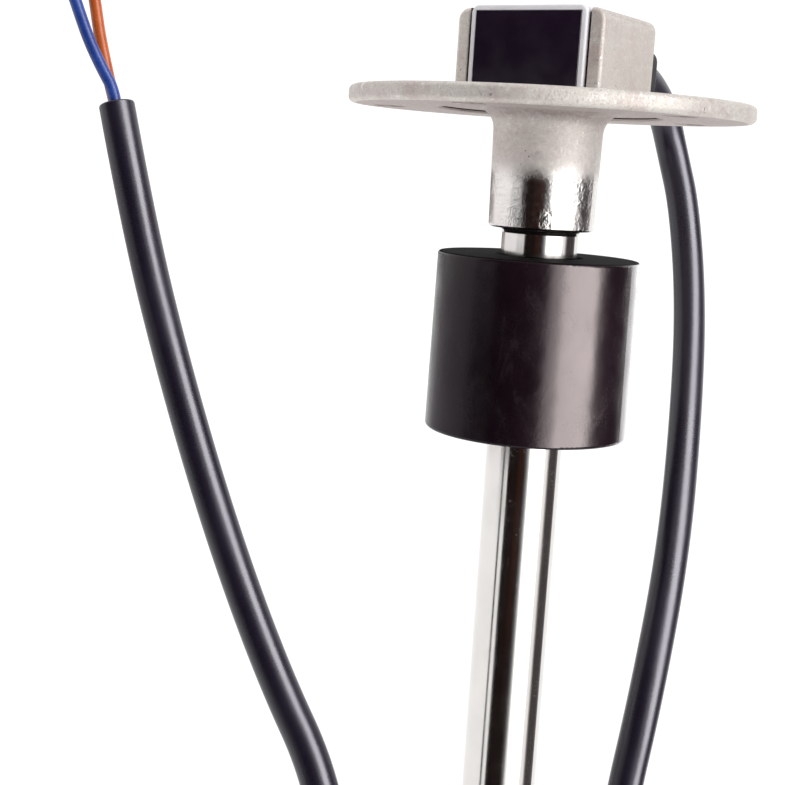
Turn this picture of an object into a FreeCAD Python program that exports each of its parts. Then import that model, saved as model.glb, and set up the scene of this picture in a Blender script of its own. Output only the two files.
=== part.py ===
import FreeCAD, Part
import math
import os

import Sketcher
from FreeCAD import Placement, Rotation, Vector

# Tank level sensor.  Millimetres, +Z up along the stem, origin at the centre of
# the flange's underside.  The head's label side faces -Y, the lead leaves at +Y.

doc = FreeCAD.newDocument("tank_level_sensor")

# ---------------------------------------------------------------- dimensions
DIMS = [
    # flange and neck of the head casting
    ("flange_dia", 66.0), ("flange_thick", 2.8), ("rim_round", 0.9),
    ("bolt_circle", 54.0), ("bolt_count", 5), ("bolt_hole_dia", 5.3),
    ("recess_rad", 18.4), ("recess_deep", 0.5),
    ("neck_top_rad", 9.05), ("neck_low_rad", 8.7), ("neck_low_z", 18.75),
    ("neck_root_round", 3.4), ("neck_lip_round", 0.5),
    ("stem_seat_z", 3.0), ("passage_rad", 4.0),
    # head block on the flange
    ("head_half_x", 12.88), ("head_front_y", 9.7), ("head_rear_y", 11.5), ("head_top_z", 15.9),
    ("slot_half_x", 10.65), ("rear_wall", 2.4), ("head_top_round", 1.9),
    ("head_rear_round", 1.1), ("head_front_round", 0.7), ("head_foot_round", 0.9),
    ("outlet_z", 7.65), ("outlet_rad", 3.5),
    # pale cover and its black panel
    ("cover_half_x", 10.13), ("cover_proud_y", 0.5), ("cover_top_z", 16.24),
    ("cover_front_wall", 2.0), ("cover_top_wall", 1.5), ("cover_rear_gap", 0.2),
    ("cover_corner", 1.3), ("cover_edge", 0.35),
    ("panel_half_x", 9.27), ("panel_low_z", 3.7), ("panel_top_z", 15.4),
    ("panel_sunk", 0.5), ("panel_thick", 0.6), ("panel_gap", 0.05),
    # stem
    ("stem_dia", 12.7), ("stem_wall", 0.8), ("stem_low_z", 165.0),
    ("plug_cap", 1.5), ("plug_spigot", 3.7), ("plug_edge", 0.6),
    ("groove_z", 160.0), ("groove_wide", 1.2), ("groove_deep", 0.35),
    ("weld_reach", 0.75),
    # retaining ring and stop washer
    ("ring_thick", 1.0), ("ring_out_rad", 8.4), ("ring_sweep", 305.0),
    ("washer_thick", 1.0), ("washer_out_rad", 9.6), ("washer_in_rad", 6.55),
    # float
    ("float_top_dia", 33.5), ("float_low_dia", 34.25), ("float_top_z", 23.2), ("float_tall", 29.5),
    ("float_bore_rad", 6.85), ("float_edge", 0.5), ("bore_bevel", 0.6),
    ("magnet_in_rad", 9.0), ("magnet_out_rad", 13.0), ("magnet_tall", 8.0),
    ("magnet_top_z", 33.0), ("fit_gap", 0.05),
    # inner assembly
    ("sleeve_out_rad", 5.5), ("sleeve_wall", 0.25), ("sleeve_top_z", 6.0), ("sleeve_low_z", 158.5),
    ("board_wide", 8.0), ("board_thick", 1.0), ("board_top_z", 8.0), ("board_low_z", 157.5),
    ("reed_count", 8), ("reed_first_z", 34.0), ("reed_pitch", 15.0), ("reed_long", 9.0), ("reed_rad", 0.9),
    ("reed_lift", 0.25), ("reed_lead_rad", 0.25), ("reed_lead_out", 1.4),
    ("chip_long", 2.0), ("chip_wide", 1.25), ("chip_thick", 0.55), ("chip_x", 2.1),
    # lead
    ("cable_dia", 5.8), ("wire_dia", 2.0), ("tip_dia", 1.1), ("tip_long", 6.0),
    ("boot_half_x", 12.2), ("boot_half_z", 3.9), ("boot_thick", 3.45), ("boot_corner", 2.0), ("boot_edge", 1.0),
    ("boot_nose", 1.6), ("boot_nose_rad", 3.6),
    ("inner_lead_rad", 0.8), ("pot_gap", 0.1),
]
sheet = doc.addObject("Spreadsheet::Sheet", "Dims")
for row, (alias, value) in enumerate(DIMS, start=1):
    sheet.set("A%d" % row, alias)
    sheet.set("B%d" % row, str(value))
    sheet.setAlias("B%d" % row, alias)
doc.recompute()


class Dim:
    """A length that carries its value and the sheet expression behind it."""

    def __init__(self, value, text):
        self.value = float(value)
        self.text = text

    @staticmethod
    def of(other):
        return other if isinstance(other, Dim) else Dim(other, repr(float(other)))

    def __add__(self, other):
        other = Dim.of(other)
        return Dim(self.value + other.value, "(%s + %s)" % (self.text, other.text))

    def __sub__(self, other):
        other = Dim.of(other)
        return Dim(self.value - other.value, "(%s - %s)" % (self.text, other.text))

    def __mul__(self, other):
        other = Dim.of(other)
        return Dim(self.value * other.value, "(%s * %s)" % (self.text, other.text))

    def __truediv__(self, other):
        other = Dim.of(other)
        return Dim(self.value / other.value, "(%s / %s)" % (self.text, other.text))

    def __neg__(self):
        return Dim(-self.value, "(-1 * %s)" % self.text)


def dim(alias):
    return Dim(getattr(sheet, alias), "Dims.%s" % alias)


def num(alias):
    return float(getattr(sheet, alias))


# ------------------------------------------------------------------- helpers
def bind(obj, prop, length):
    obj.setExpression(prop, Dim.of(length).text)


def plane_of(body, role):
    return [f for f in body.Origin.OriginFeatures if f.Role == role][0]


def new_body(label):
    body = doc.addObject("PartDesign::Body", label + "_body")
    body.Label = label
    return body


def polygon(body, name, role, points, lift=None):
    """Closed outline on one of the body's own planes, every corner driven by the sheet."""
    sk = body.newObject("Sketcher::SketchObject", name)
    sk.AttachmentSupport = [(plane_of(body, role), "")]
    sk.MapMode = "FlatFace"
    if lift is not None:
        bind(sk, "AttachmentOffset.Base.z", lift)
    pts = [(Dim.of(x), Dim.of(y)) for x, y in points]
    count = len(pts)
    for i in range(count):
        (x0, y0), (x1, y1) = pts[i], pts[(i + 1) % count]
        sk.addGeometry(Part.LineSegment(Vector(x0.value, y0.value, 0), Vector(x1.value, y1.value, 0)), False)
    for i in range(count):
        sk.addConstraint(Sketcher.Constraint("Coincident", i, 2, (i + 1) % count, 1))
    for i, (x, y) in enumerate(pts):
        for kind, length, axis in (("DistanceX", x, -2), ("DistanceY", y, -1)):
            if abs(length.value) < 1e-9:
                sk.addConstraint(Sketcher.Constraint("PointOnObject", i, 1, axis))
            elif length.value > 0:
                k = sk.addConstraint(Sketcher.Constraint(kind, -1, 1, i, 1, length.value))
                sk.setExpression("Constraints[%d]" % k, length.text)
            else:
                k = sk.addConstraint(Sketcher.Constraint(kind, i, 1, -1, 1, -length.value))
                sk.setExpression("Constraints[%d]" % k, (-length).text)
    return sk


def disc(body, name, role, radius, x=0.0, y=0.0, lift=None):
    sk = body.newObject("Sketcher::SketchObject", name)
    sk.AttachmentSupport = [(plane_of(body, role), "")]
    sk.MapMode = "FlatFace"
    if lift is not None:
        bind(sk, "AttachmentOffset.Base.z", lift)
    x, y, radius = Dim.of(x), Dim.of(y), Dim.of(radius)
    sk.addGeometry(Part.Circle(Vector(x.value, y.value, 0), Vector(0, 0, 1), radius.value), False)
    k = sk.addConstraint(Sketcher.Constraint("Radius", 0, radius.value))
    sk.setExpression("Constraints[%d]" % k, radius.text)
    for kind, length, axis in (("DistanceX", x, -2), ("DistanceY", y, -1)):
        if abs(length.value) < 1e-9:
            sk.addConstraint(Sketcher.Constraint("PointOnObject", 0, 3, axis))
        elif length.value > 0:
            k = sk.addConstraint(Sketcher.Constraint(kind, -1, 1, 0, 3, length.value))
            sk.setExpression("Constraints[%d]" % k, length.text)
        else:
            k = sk.addConstraint(Sketcher.Constraint(kind, 0, 3, -1, 1, -length.value))
            sk.setExpression("Constraints[%d]" % k, (-length).text)
    return sk


def revolve(body, name, points, sweep=None):
    """Solid of revolution about the body's Z axis from (radius, z) corners."""
    sk = polygon(body, name + "_profile", "XZ_Plane", points)
    rev = body.newObject("PartDesign::Revolution", name)
    rev.Profile = sk
    rev.ReferenceAxis = (sk, ["V_Axis"])
    rev.Angle = 360.0
    if sweep is not None:
        bind(rev, "Angle", sweep)
    doc.recompute()
    return rev


def pad(body, name, sk, length, midplane=False, flip=False):
    feat = body.newObject("PartDesign::Pad", name)
    feat.Profile = sk
    feat.Length = Dim.of(length).value
    bind(feat, "Length", length)
    feat.Midplane = midplane
    feat.Reversed = flip
    doc.recompute()
    return feat


def pocket(body, name, sk, length, flip=False, midplane=False):
    before = body.Shape.Volume
    feat = body.newObject("PartDesign::Pocket", name)
    feat.Profile = sk
    feat.Length = Dim.of(length).value
    bind(feat, "Length", length)
    feat.Midplane = midplane
    feat.Reversed = flip
    doc.recompute()
    print("pocket", name, "removed", round(before - feat.Shape.Volume, 2), "mm3")
    return feat


def edges_of(feature, test):
    return ["Edge%d" % (i + 1) for i, e in enumerate(feature.Shape.Edges) if test(e)]


def near(a, b, tol=1e-3):
    return abs(a - b) < tol


def is_ring(edge, radius, z):
    """A full circle about the Z axis with that radius and height."""
    c = edge.Curve
    return isinstance(c, Part.Circle) and near(c.Radius, radius) and near(c.Center.z, z) and near(c.Center.x, 0) and near(c.Center.y, 0)


def is_line(edge, **where):
    """A straight edge whose two ends share the stated coordinates."""
    if not isinstance(edge.Curve, Part.Line):
        return False
    ends = [v.Point for v in edge.Vertexes]
    return all(near(getattr(p, axis), value) for p in ends for axis, value in where.items())


def fillet(body, name, base, edges, radius):
    if not edges:
        raise RuntimeError("no edges found for " + name)
    feat = body.newObject("PartDesign::Fillet", name)
    feat.Base = (base, edges)
    feat.Radius = Dim.of(radius).value
    bind(feat, "Radius", radius)
    doc.recompute()
    return feat


def box(name, sizes, low):
    obj = doc.addObject("Part::Box", name)
    for prop, length in zip(("Length", "Width", "Height"), sizes):
        bind(obj, prop, length)
    for axis, length in zip("xyz", low):
        bind(obj, "Placement.Base." + axis, length)
    return obj


def cylinder(name, radius, height, at, turn=None):
    obj = doc.addObject("Part::Cylinder", name)
    if turn is not None:
        obj.Placement = Placement(Vector(0, 0, 0), turn)
    bind(obj, "Radius", radius)
    bind(obj, "Height", height)
    for axis, length in zip("xyz", at):
        bind(obj, "Placement.Base." + axis, length)
    return obj


def group(label, members):
    obj = doc.addObject("Part::Compound", label + "_group")
    obj.Links = members
    obj.Label = label
    return obj


def route(points):
    """Straight runs joined by tangent arcs, each arc as large as its two runs allow."""
    pts = [Vector(*p) for p in points]
    edges, radii = [], []
    start = pts[0]
    for before, corner, after in zip(pts, pts[1:], pts[2:]):
        a = corner - before
        b = after - corner
        reach = 0.45 * min(a.Length, b.Length)
        half = a.getAngle(b) / 2.0
        radius = reach / math.tan(half)
        radii.append(radius)
        a.normalize()
        b.normalize()
        first = corner - a * reach
        last = corner + b * reach
        inward = (b - a).normalize()
        centre = corner + inward * (radius / math.cos(half))
        edges.append(Part.LineSegment(start, first).toShape())
        edges.append(Part.Arc(first, centre - inward * radius, last).toShape())
        start = last
    edges.append(Part.LineSegment(start, pts[-1]).toShape())
    return Part.Wire(edges), radii


def tube(points, radius, label=None):
    path, radii = route(points)
    along = Vector(*points[1]) - Vector(*points[0])
    ring = Part.Wire([Part.Circle(Vector(*points[0]), along, radius).toShape()])
    solid = path.makePipeShell([ring], True, False)
    if label:
        print(label, "length %.2f" % path.Length, "volume ratio %.4f" % (solid.Volume / (math.pi * radius ** 2 * path.Length)),
              "smallest bend %.1f" % min(radii), "radii", [round(r, 1) for r in radii])
    return solid


def feature(label, shape):
    obj = doc.addObject("Part::Feature", label + "_shape")
    obj.Label = label
    obj.Shape = shape
    return obj


nodes = []

# --------------------------------------------------------------- flange_head
# One casting: flange, neck with the stem's seat, cheeks and rear wall.
head = new_body("flange_head")
flange_rad = dim("flange_dia") / 2
stem_rad = dim("stem_dia") / 2
turned = revolve(head, "head_turned", [
    (dim("passage_rad"), dim("flange_thick")),
    (flange_rad, dim("flange_thick")),
    (flange_rad, 0.0),
    (dim("recess_rad"), 0.0),
    (dim("recess_rad"), dim("recess_deep")),
    (dim("neck_top_rad"), dim("recess_deep")),
    (dim("neck_low_rad"), -dim("neck_low_z")),
    (stem_rad + 0.02, -dim("neck_low_z")),
    (stem_rad + 0.02, -dim("stem_seat_z")),
    (dim("passage_rad"), -dim("stem_seat_z")),
])
walls_sketch = polygon(head, "head_walls_outline", "XY_Plane", [
    (-dim("head_half_x"), -dim("head_front_y")),
    (-dim("slot_half_x"), -dim("head_front_y")),
    (-dim("slot_half_x"), dim("head_rear_y") - dim("rear_wall")),
    (dim("slot_half_x"), dim("head_rear_y") - dim("rear_wall")),
    (dim("slot_half_x"), -dim("head_front_y")),
    (dim("head_half_x"), -dim("head_front_y")),
    (dim("head_half_x"), dim("head_rear_y")),
    (-dim("head_half_x"), dim("head_rear_y")),
], lift=dim("flange_thick"))
walls = pad(head, "head_walls", walls_sketch, dim("head_top_z") - dim("flange_thick"))
hx, hf, hr, ht, ft = num("head_half_x"), num("head_front_y"), num("head_rear_y"), num("head_top_z"), num("flange_thick")
feat = fillet(head, "cheek_tops", walls, edges_of(walls, lambda e: is_line(e, x=hx, z=ht) or is_line(e, x=-hx, z=ht)), dim("head_top_round"))


def end_rim(e, y):
    """The outer edges of the block's end face at that y: both sides, shoulders and top."""
    if not all(near(v.Point.y, y) for v in e.Vertexes):
        return False
    if isinstance(e.Curve, Part.Circle):
        return near(e.Curve.Radius, num("head_top_round"))
    return is_line(e, x=hx) or is_line(e, x=-hx) or is_line(e, z=ht)


feat = fillet(head, "rear_rim", feat, edges_of(feat, lambda e: end_rim(e, hr)), dim("head_rear_round"))
feat = fillet(head, "front_rim", feat, edges_of(feat, lambda e: end_rim(e, -hf)), dim("head_front_round"))
outlet = disc(head, "outlet_circle", "XZ_Plane", dim("outlet_rad"), 0.0, dim("outlet_z"))
feat = pocket(head, "cable_outlet", outlet, dim("head_rear_y") + 3)
hole = disc(head, "bolt_circle_hole", "XY_Plane", dim("bolt_hole_dia") / 2, 0.0, -(dim("bolt_circle") / 2))
feat = pocket(head, "bolt_hole", hole, dim("flange_thick") + 2, flip=True)
pattern = head.newObject("PartDesign::PolarPattern", "bolt_holes")
pattern.Originals = [feat]
pattern.Axis = (plane_of(head, "Z_Axis"), [""])
pattern.Angle = 360.0
bind(pattern, "Occurrences", dim("bolt_count"))
head.Tip = pattern
doc.recompute()
fr = num("flange_dia") / 2
rim = fillet(head, "rim_edges", pattern, edges_of(pattern, lambda e: is_ring(e, fr, ft) or is_ring(e, fr, 0.0)), dim("rim_round"))
root = fillet(head, "neck_root", rim, edges_of(rim, lambda e: is_ring(e, num("neck_top_rad"), num("recess_deep"))), dim("neck_root_round"))
lip = fillet(head, "neck_lip", root, edges_of(root, lambda e: is_ring(e, num("neck_low_rad"), -num("neck_low_z"))), dim("neck_lip_round"))


def foot_edge(e):
    pts = [v.Point for v in e.Vertexes]
    if not all(near(p.z, ft) for p in pts):
        return False
    if isinstance(e.Curve, Part.Circle):
        return near(e.Curve.Radius, num("head_rear_round")) or near(e.Curve.Radius, num("head_front_round"))
    return is_line(e, x=hx) or is_line(e, x=-hx) or is_line(e, y=hr)


foot = fillet(head, "head_foot", lip, edges_of(lip, foot_edge), dim("head_foot_round"))
nodes.append(head)

# ----------------------------------------------------------------- stem_tube
# Drawn tube with the ring groove near its lower end and the weld at the neck.
stem = new_body("stem_tube")
groove_top = dim("groove_wide") / 2 - dim("groove_z")
groove_low = -(dim("groove_wide") / 2) - dim("groove_z")
stem_end = dim("plug_cap") - dim("stem_low_z")
revolve(stem, "stem_turned", [
    (stem_rad - dim("stem_wall"), stem_end),
    (stem_rad, stem_end),
    (stem_rad, groove_low),
    (stem_rad - dim("groove_deep"), groove_low),
    (stem_rad - dim("groove_deep"), groove_top),
    (stem_rad, groove_top),
    (stem_rad, -dim("neck_low_z") - dim("weld_reach") * 1.1),
    (stem_rad + dim("weld_reach") * 0.3, -dim("neck_low_z") - dim("weld_reach") * 0.4),
    (stem_rad + dim("weld_reach"), -dim("neck_low_z") - 0.01),
    (stem_rad, -dim("neck_low_z") - 0.01),
    (stem_rad, -dim("stem_seat_z") - 0.05),
    (stem_rad - dim("stem_wall"), -dim("stem_seat_z") - 0.05),
])
nodes.append(stem)

# ------------------------------------------------------------- stem_end_plug
plug = new_body("stem_end_plug")
revolve(plug, "plug_turned", [
    (0.0, -dim("stem_low_z")),
    (stem_rad - dim("plug_edge"), -dim("stem_low_z")),
    (stem_rad, dim("plug_edge") - dim("stem_low_z")),
    (stem_rad, stem_end),
    (stem_rad - dim("stem_wall") - dim("fit_gap"), stem_end),
    (stem_rad - dim("stem_wall") - dim("fit_gap"), stem_end + dim("plug_spigot")),
    (0.0, stem_end + dim("plug_spigot")),
])
nodes.append(plug)

# ------------------------------------------- retaining_ring and stop_washer
ring = new_body("retaining_ring")
ring_low = -(dim("ring_thick") / 2) - dim("groove_z")
ring_top = dim("ring_thick") / 2 - dim("groove_z")
ring_in = stem_rad - dim("groove_deep") + 0.02
revolve(ring, "ring_turned", [
    (ring_in, ring_low), (dim("ring_out_rad"), ring_low), (dim("ring_out_rad"), ring_top), (ring_in, ring_top),
], sweep=dim("ring_sweep"))
ring.Placement = Placement(Vector(0, 0, 0), Rotation(Vector(0, 0, 1), 117.5))
nodes.append(ring)

washer = new_body("stop_washer")
washer_top = ring_top + dim("washer_thick")
washer_turned = revolve(washer, "washer_turned", [
    (dim("washer_in_rad"), ring_top), (dim("washer_out_rad"), ring_top),
    (dim("washer_out_rad"), washer_top), (dim("washer_in_rad"), washer_top),
])
fillet(washer, "washer_edge", washer_turned, edges_of(
    washer_turned, lambda e: is_ring(e, num("washer_out_rad"), washer_top.value)), 0.3)
nodes.append(washer)

# --------------------------------------------------------------------- float
# Foam body with a magnet pocket that opens underneath and is closed by a ring.
float_body = new_body("float_body")
f_rad, f_rad_low = dim("float_top_dia") / 2, dim("float_low_dia") / 2
f_top = -dim("float_top_z")
f_low = -dim("float_top_z") - dim("float_tall")
f_bore, f_bev = dim("float_bore_rad"), dim("bore_bevel")
f_turned = revolve(float_body, "float_turned", [
    (f_bore, f_low + f_bev), (f_bore + f_bev, f_low), (dim("magnet_in_rad"), f_low),
    (dim("magnet_in_rad"), -dim("magnet_top_z")), (dim("magnet_out_rad"), -dim("magnet_top_z")),
    (dim("magnet_out_rad"), f_low), (f_rad_low, f_low), (f_rad, f_top), (f_bore + f_bev, f_top), (f_bore, f_top - f_bev),
])
fillet(float_body, "float_edges", f_turned, edges_of(
    f_turned, lambda e: is_ring(e, f_rad.value, f_top.value) or is_ring(e, f_rad_low.value, f_low.value)), dim("float_edge"))
nodes.append(float_body)

magnet = new_body("float_magnet")
m_in, m_out = dim("magnet_in_rad") + dim("fit_gap"), dim("magnet_out_rad") - dim("fit_gap")
m_top, m_low = -dim("magnet_top_z"), -dim("magnet_top_z") - dim("magnet_tall")
revolve(magnet, "magnet_turned", [(m_in, m_low), (m_out, m_low), (m_out, m_top), (m_in, m_top)])
nodes.append(magnet)

closing = new_body("float_plug_ring")
revolve(closing, "closing_turned", [(m_in, f_low), (m_out, f_low), (m_out, m_low), (m_in, m_low)])
nodes.append(closing)

# ---------------------------------------------------- head_cover, nameplate
cover = new_body("head_cover")
c_front = -dim("head_front_y") - dim("cover_proud_y")
c_rear = dim("head_rear_y") - dim("rear_wall") - dim("cover_rear_gap")
c_profile = polygon(cover, "cover_profile", "YZ_Plane", [
    (c_front, dim("flange_thick")),
    (c_front, dim("cover_top_z")),
    (c_rear, dim("cover_top_z")),
    (c_rear, dim("cover_top_z") - dim("cover_top_wall")),
    (c_front + dim("cover_front_wall"), dim("cover_top_z") - dim("cover_top_wall")),
    (c_front + dim("cover_front_wall"), dim("flange_thick")),
])
c_pad = pad(cover, "cover_solid", c_profile, dim("cover_half_x") * 2, midplane=True)
cx, ct = num("cover_half_x"), num("cover_top_z")
c_feat = fillet(cover, "cover_shoulders", c_pad, edges_of(c_pad, lambda e: is_line(e, x=cx, z=ct) or is_line(e, x=-cx, z=ct)), dim("cover_corner"))


def cover_rim(e):
    return all(near(v.Point.y, c_front.value) for v in e.Vertexes) and not is_line(e, z=ft)


c_feat = fillet(cover, "cover_front_edges", c_feat, edges_of(c_feat, cover_rim), dim("cover_edge"))
seat = polygon(cover, "panel_seat_outline", "XZ_Plane", [
    (-dim("panel_half_x"), dim("panel_low_z")), (dim("panel_half_x"), dim("panel_low_z")),
    (dim("panel_half_x"), dim("panel_top_z")), (-dim("panel_half_x"), dim("panel_top_z")),
], lift=-c_front - dim("panel_sunk"))
pocket(cover, "panel_seat", seat, dim("panel_sunk") * 2, flip=True)
nodes.append(cover)

panel = new_body("nameplate")
p_gap = dim("panel_gap")
p_outline = polygon(panel, "panel_outline", "XZ_Plane", [
    (p_gap - dim("panel_half_x"), dim("panel_low_z") + p_gap), (dim("panel_half_x") - p_gap, dim("panel_low_z") + p_gap),
    (dim("panel_half_x") - p_gap, dim("panel_top_z") - p_gap), (p_gap - dim("panel_half_x"), dim("panel_top_z") - p_gap),
], lift=-c_front - dim("panel_sunk"))
p_pad = pad(panel, "panel_solid", p_outline, dim("panel_thick"))
fillet(panel, "panel_edges", p_pad, edges_of(
    p_pad, lambda e: all(near(v.Point.y, c_front.value + num("panel_sunk") - num("panel_thick")) for v in e.Vertexes)), 0.12)
nodes.append(panel)

# ------------------------------------------------------------- cable_grommet
# Rubber boot on the rear wall: a wide pad, a round plug through the wall and a
# short nose round the lead.  Its own axis is Z, laid along +Y at the outlet.
grommet = new_body("cable_grommet")
g_bore = dim("cable_dia") / 2 + 0.02
g_rear = dim("head_rear_y")
g_wall_in = g_rear - dim("rear_wall")
g_face = g_rear + dim("boot_thick")
g_outline = polygon(grommet, "boot_outline", "XY_Plane", [
    (-dim("boot_half_x"), -dim("boot_half_z")), (dim("boot_half_x"), -dim("boot_half_z")),
    (dim("boot_half_x"), dim("boot_half_z")), (-dim("boot_half_x"), dim("boot_half_z")),
], lift=g_rear)
g_pad = pad(grommet, "boot_pad", g_outline, dim("boot_thick"))
bx, bz = num("boot_half_x"), num("boot_half_z")
g_feat = fillet(grommet, "boot_corners", g_pad, edges_of(g_pad, lambda e: any(
    is_line(e, x=sx * bx, y=sy * bz) for sx in (-1, 1) for sy in (-1, 1))), dim("boot_corner"))
g_feat = fillet(grommet, "boot_edges", g_feat, edges_of(
    g_feat, lambda e: all(near(v.Point.z, g_face.value) for v in e.Vertexes)), dim("boot_edge"))
revolve(grommet, "boot_turned", [
    (0.0, g_wall_in - 1.0),
    (dim("outlet_rad") - 0.02, g_wall_in - 1.0),
    (dim("outlet_rad") - 0.02, g_rear),
    (dim("boot_nose_rad") + 0.35, g_rear),
    (dim("boot_nose_rad") + 0.35, g_face),
    (dim("boot_nose_rad"), g_face + dim("boot_nose")),
    (0.0, g_face + dim("boot_nose")),
])
g_hole = disc(grommet, "boot_bore_circle", "XY_Plane", g_bore, lift=g_wall_in - 1.0)
pocket(grommet, "boot_bore", g_hole, dim("rear_wall") + 1.0 + dim("boot_thick") + dim("boot_nose"), flip=True)
grommet.Placement = Placement(Vector(0, 0, num("outlet_z")), Rotation(Vector(1, 0, 0), -90))
nodes.append(grommet)

# ----------------------------------------------------------------- the lead
# Route of the lead's centre line, from inside the grommet to the cut jacket end.
CABLE = [
    (0.0, 8.0, 7.65), (0.0, 20.5, 7.65), (0.2, 26.7, 8.4), (0.5, 33.0, 9.4), (0.8, 39.2, 7.7), (1.2, 46.5, 3.1),
    (2.4, 50.2, -5.0), (6.2, 48.5, -14.4), (11.2, 43.4, -32.5), (16.6, 31.7, -52.7), (21.7, 17.6, -73.6),
    (23.9, 5.0, -95.6), (22.7, 0.4, -115.1), (24.7, -8.3, -134.3), (18.5, -24.9, -143.1), (7.1, -40.1, -137.6),
    (-3.5, -45.2, -120.8), (-10.4, -40.1, -105.2), (-22.6, -38.6, -90.2), (-34.3, -38.3, -69.3), (-44.5, -38.8, -45.5),
    (-53.2, -39.0, -22.1), (-59.37, -38.41, -2.61),
]
# Routes of the two cores beyond the jacket, one before the other at the cut.
BLUE = [
    (-58.83, -39.30, -2.37), (-59.54, -39.24, -0.19), (-60.86, -39.72, 2.03), (-62.26, -40.20, 4.54), (-63.67, -40.61, 7.25),
    (-65.06, -40.88, 10.28), (-66.68, -41.13, 13.97), (-68.82, -41.50, 18.55), (-71.45, -41.95, 24.03), (-74.03, -42.30, 29.52),
    (-76.45, -42.48, 34.85),
]
ORANGE = [
    (-60.24, -37.80, -2.80), (-61.22, -37.83, -0.14), (-62.22, -37.83, 2.69), (-63.37, -37.77, 6.00), (-64.45, -37.67, 9.33),
    (-65.53, -37.44, 13.18), (-67.05, -37.29, 18.46), (-68.77, -37.30, 24.21), (-70.54, -37.48, 29.96), (-72.19, -37.82, 35.32),
]
cable = feature("cable", tube(CABLE, num("cable_dia") / 2, "cable"))
wire_blue = feature("wire_blue", tube(BLUE, num("wire_dia") / 2, "wire_blue"))
wire_orange = feature("wire_orange", tube(ORANGE, num("wire_dia") / 2, "wire_orange"))
nodes += [cable, wire_blue, wire_orange]

tips = []
for pts in (BLUE, ORANGE):
    end, before = Vector(*pts[-1]), Vector(*pts[-2])
    tips.append(Part.makeCylinder(num("tip_dia") / 2, num("tip_long"), end, end - before))
nodes.append(feature("wire_tips", Part.makeCompound(tips)))

# Cores inside the head: from the jacket's inner end down through the neck to the board.
inner_rad = num("inner_lead_rad")
INNER_BLUE = [(-1.1, 7.95, 7.65), (-1.15, 4.4, 7.6), (-1.3, 1.2, 5.7), (-1.4, 0.9, 2.0), (-1.6, 1.5, -1.6), (-1.8, 1.6, -5.0), (-2.0, 1.4, -8.5), (-2.0, 1.35, -12.0)]
INNER_ORANGE = [(1.1, 7.95, 7.65), (1.15, 4.4, 7.6), (1.3, 1.2, 5.7), (1.4, 0.9, 2.0), (1.6, 1.5, -1.6), (1.8, 1.6, -5.0), (2.0, 1.4, -8.5), (2.0, 1.35, -12.0)]
lead_blue = feature("lead_blue_inner", tube(INNER_BLUE, inner_rad, "lead_blue_inner"))
lead_orange = feature("lead_orange_inner", tube(INNER_ORANGE, inner_rad, "lead_orange_inner"))
nodes += [lead_blue, lead_orange]

# ------------------------------------------------------------------- potting
# Compound under the cover and in the passage, moulded round the cores and the bush.
gap = dim("pot_gap")
pot_front = c_front + dim("cover_front_wall")
pot_rear = dim("head_rear_y") - dim("rear_wall")
fill_block = box("potting_block", (
    (dim("slot_half_x") - gap) * 2, pot_rear - pot_front - gap * 2, dim("cover_top_z") - dim("cover_top_wall") - dim("flange_thick") - gap,
), (-dim("slot_half_x") + gap, pot_front + gap, dim("flange_thick")))
fill_neck = cylinder("potting_neck", dim("passage_rad") - gap, dim("flange_thick") + dim("stem_seat_z") - 0.5, (0.0, 0.0, -dim("stem_seat_z") + 0.5))
fill_all = doc.addObject("Part::Fuse", "potting_fill")
fill_all.Base, fill_all.Tool = fill_block, fill_neck
bush_room = cylinder("potting_bush_room", dim("outlet_rad") + gap / 2, 3.0, (0.0, pot_rear - 1.2, dim("outlet_z")), Rotation(Vector(1, 0, 0), -90))
fill_cut = doc.addObject("Part::Cut", "potting_bush_cut")
fill_cut.Base, fill_cut.Tool = fill_all, bush_room
core_room = feature("potting_core_room", tube(INNER_BLUE, inner_rad + 0.03).fuse(tube(INNER_ORANGE, inner_rad + 0.03)))
jacket_room = cylinder("potting_jacket_room", dim("cable_dia") / 2 + 0.03, 4.0, (0.0, 8.0 - 0.02, dim("outlet_z")), Rotation(Vector(1, 0, 0), -90))
fill_cut2 = doc.addObject("Part::Cut", "potting_core_cut")
fill_cut2.Base, fill_cut2.Tool = fill_cut, core_room
potting = doc.addObject("Part::Cut", "potting_shape")
potting.Base, potting.Tool = fill_cut2, jacket_room
potting.Label = "potting"
nodes.append(potting)

# ------------------------------------------------------------ inner assembly
sleeve = new_body("board_sleeve")
s_out = dim("sleeve_out_rad")
revolve(sleeve, "sleeve_turned", [
    (s_out - dim("sleeve_wall"), -dim("sleeve_low_z")), (s_out, -dim("sleeve_low_z")),
    (s_out, -dim("sleeve_top_z")), (s_out - dim("sleeve_wall"), -dim("sleeve_top_z")),
])
nodes.append(sleeve)

board = box("reed_board_strip", (dim("board_wide"), dim("board_thick"), dim("board_low_z") - dim("board_top_z")),
            (-(dim("board_wide") / 2), -(dim("board_thick") / 2), -dim("board_low_z")))
board.Label = "reed_board"
nodes.append(board)

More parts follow.
